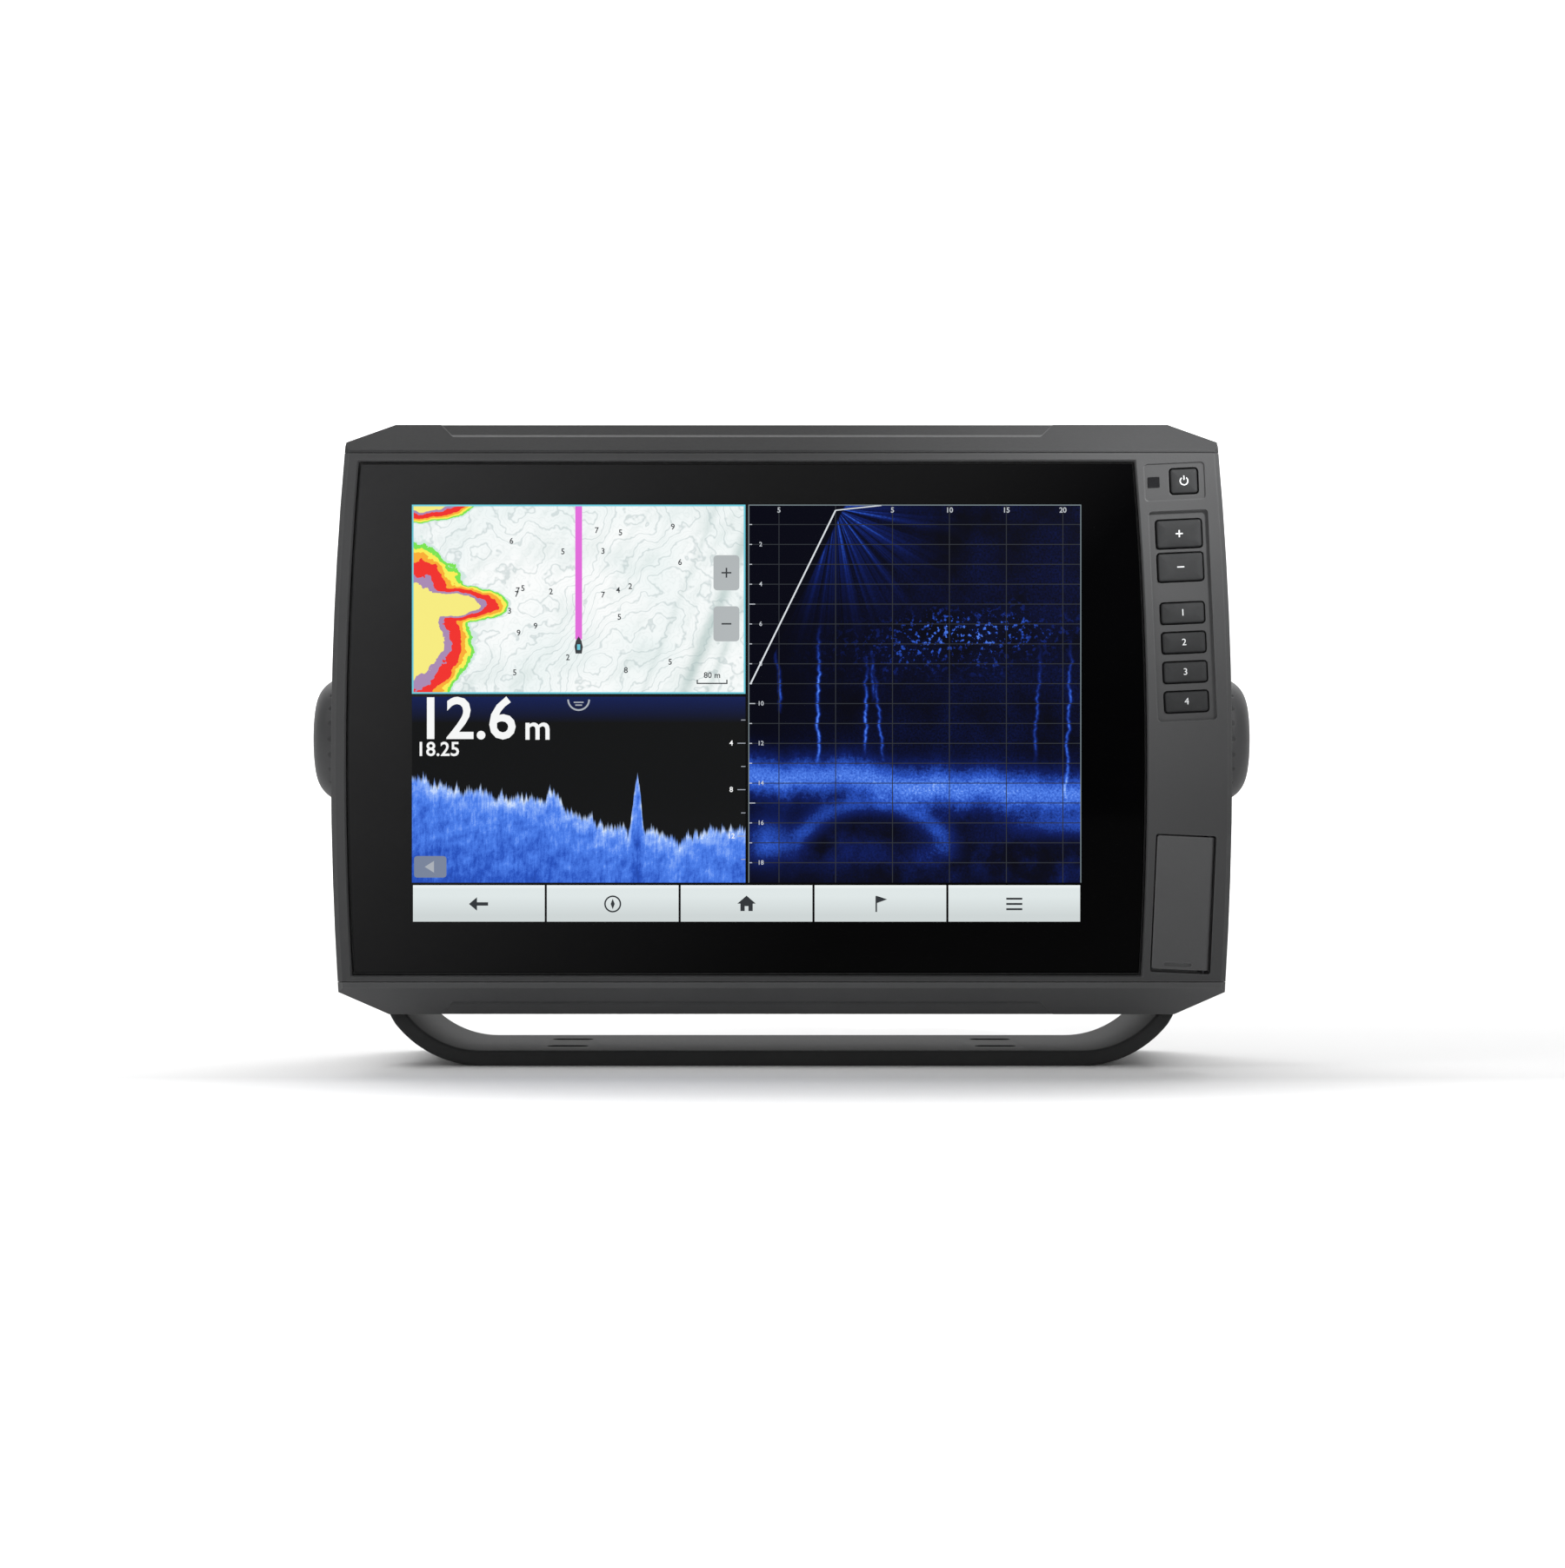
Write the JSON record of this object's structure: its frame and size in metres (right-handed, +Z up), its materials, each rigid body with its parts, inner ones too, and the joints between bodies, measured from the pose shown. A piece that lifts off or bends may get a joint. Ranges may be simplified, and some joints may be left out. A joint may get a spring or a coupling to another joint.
{
  "type": "chartplotter display",
  "caption": "Wide marine chartplotter display with a glass front, key column and card door, in a quick-release cradle on a U-shaped bail bracket clamped by side knobs.",
  "frame": {"origin": "middle of the bracket's underside, centre of its four screw slots", "axes": "+Z up, display faces -Y, key column on the +X side"},
  "size_m": [0.315, 0.0902, 0.2105],
  "materials": {
    "bracket_coat": "fine black powder coat",
    "case_plastic": "fine moulded texture, charcoal",
    "trim_plastic": "satin charcoal",
    "housing_plastic": "coarse moulded texture, black",
    "cradle_plastic": "moulded texture, black",
    "knob_plastic": "satin, fluted",
    "washer_nylon": "smooth",
    "glass": "polished, black border",
    "clear_bond": "clear",
    "adhesive": "matte foam tape",
    "panel": "display panel",
    "backlight": "white diffuser",
    "sheet_metal": "plain pressed sheet",
    "steel": "stainless",
    "brass": "turned",
    "key_rubber": "soft-touch",
    "seal_rubber": "matte",
    "board": "green solder mask",
    "flex": "amber film",
    "window": "smoked",
    "ceramic_patch": "fired",
    "socket_plastic": "moulded"
  },
  "bodies": {
    "mount": {"mount_bracket": "bracket_coat"},
    "left_washer": {"left_knob_washer": "washer_nylon"},
    "left_knob": {"left_knob_grip": "knob_plastic", "left_knob_stud": "steel"},
    "right_washer": {"right_knob_washer": "washer_nylon"},
    "right_knob": {"right_knob_grip": "knob_plastic", "right_knob_stud": "steel"},
    "cradle": {"cradle_shell": "cradle_plastic", "pivot_inserts": "brass", "cable_lock_bar": "cradle_plastic", "lock_bar_screws": "steel", "latch_spring": "steel", "lever_pin": "steel"},
    "latch_lever": {"release_lever": "knob_plastic"},
    "display": {"front_bezel": "case_plastic", "top_trim": "trim_plastic", "bottom_trim": "trim_plastic", "cover_glass": "glass", "glass_adhesive": "adhesive", "optical_bond": "clear_bond", "lcd_panel": "panel", "backlight": "backlight", "lcd_frame": "sheet_metal", "lcd_screws": "steel", "sensor_window": "window", "keypad_membrane": "seal_rubber", "key_board": "board", "tact_switches": "sheet_metal", "door_pin": "steel", "card_bay_seal": "seal_rubber", "card_board": "board", "card_sockets": "sheet_metal", "rear_housing": "housing_plastic", "housing_seal": "seal_rubber", "housing_screws": "steel", "breather_vent": "socket_plastic", "power_socket": "socket_plastic", "sonar_socket": "socket_plastic", "network_socket": "socket_plastic", "bus_socket": "socket_plastic", "socket_caps": "seal_rubber", "main_board": "board", "board_screws": "steel", "thermal_pad": "seal_rubber", "heat_spreader": "sheet_metal", "gnss_antenna": "ceramic_patch", "buzzer": "socket_plastic", "display_ribbon": "flex", "key_ribbon": "flex"},
    "card_door": {"card_door_panel": "case_plastic"},
    "power_key": {"power_key_cap": "key_rubber"},
    "zoom_in_key": {"zoom_in_key_cap": "key_rubber"},
    "zoom_out_key": {"zoom_out_key_cap": "key_rubber"},
    "preset_1_key": {"preset_1_key_cap": "key_rubber"},
    "preset_2_key": {"preset_2_key_cap": "key_rubber"},
    "preset_3_key": {"preset_3_key_cap": "key_rubber"},
    "preset_4_key": {"preset_4_key_cap": "key_rubber"}
  },
  "joints": [
    {"name": "tilt", "type": "hinge", "parent": "mount", "child": "cradle", "pos_m": [0, 0, 0.108], "axis": [1, 0, 0], "range_deg": [-50, 2]},
    {"name": "left_clamp", "type": "slide", "parent": "mount", "child": "left_washer", "axis": [-1, 0, 0], "range_m": [0, 0.003]},
    {"name": "left_knob_turn", "type": "hinge", "parent": "left_washer", "child": "left_knob", "pos_m": [-0.135, 0, 0.108], "axis": [-1, 0, 0], "range_deg": [0, 1080]},
    {"name": "right_clamp", "type": "slide", "parent": "mount", "child": "right_washer", "axis": [1, 0, 0], "range_m": [0, 0.003]},
    {"name": "right_knob_turn", "type": "hinge", "parent": "right_washer", "child": "right_knob", "pos_m": [0.135, 0, 0.108], "axis": [1, 0, 0], "range_deg": [0, 1080]},
    {"name": "undock", "type": "slide", "parent": "cradle", "child": "display", "axis": [0, -1, 0], "range_m": [0, 0.045], "deforming": ["latch_spring"]},
    {"name": "latch_release", "type": "hinge", "parent": "cradle", "child": "latch_lever", "pos_m": [0, 0.006, 0.16], "axis": [-1, 0, 0], "range_deg": [0, 12], "stiffness_Nm_per_rad": 0.4, "deforming": ["latch_spring"]},
    {"name": "card_door_open", "type": "hinge", "parent": "display", "child": "card_door", "pos_m": [0.1378, -0.0523, 0.05396], "axis": [0.0454, 0, 0.999], "range_deg": [0, 90]},
    {"name": "power_key_press", "type": "slide", "parent": "display", "child": "power_key", "axis": [0, 1, 0], "range_m": [0, 0.0006], "stiffness_N_per_m": 2500},
    {"name": "zoom_in_key_press", "type": "slide", "parent": "display", "child": "zoom_in_key", "axis": [0, 1, 0], "range_m": [0, 0.0006], "stiffness_N_per_m": 2500},
    {"name": "zoom_out_key_press", "type": "slide", "parent": "display", "child": "zoom_out_key", "axis": [0, 1, 0], "range_m": [0, 0.0006], "stiffness_N_per_m": 2500},
    {"name": "preset_1_key_press", "type": "slide", "parent": "display", "child": "preset_1_key", "axis": [0, 1, 0], "range_m": [0, 0.0006], "stiffness_N_per_m": 2500},
    {"name": "preset_2_key_press", "type": "slide", "parent": "display", "child": "preset_2_key", "axis": [0, 1, 0], "range_m": [0, 0.0006], "stiffness_N_per_m": 2500},
    {"name": "preset_3_key_press", "type": "slide", "parent": "display", "child": "preset_3_key", "axis": [0, 1, 0], "range_m": [0, 0.0006], "stiffness_N_per_m": 2500},
    {"name": "preset_4_key_press", "type": "slide", "parent": "display", "child": "preset_4_key", "axis": [0, 1, 0], "range_m": [0, 0.0006], "stiffness_N_per_m": 2500}
  ],
  "couplings": [
    {"joint": "left_knob_turn", "follows": "left_clamp", "rad_per_m": 6283.2},
    {"joint": "right_knob_turn", "follows": "right_clamp", "rad_per_m": 6283.2}
  ]
}
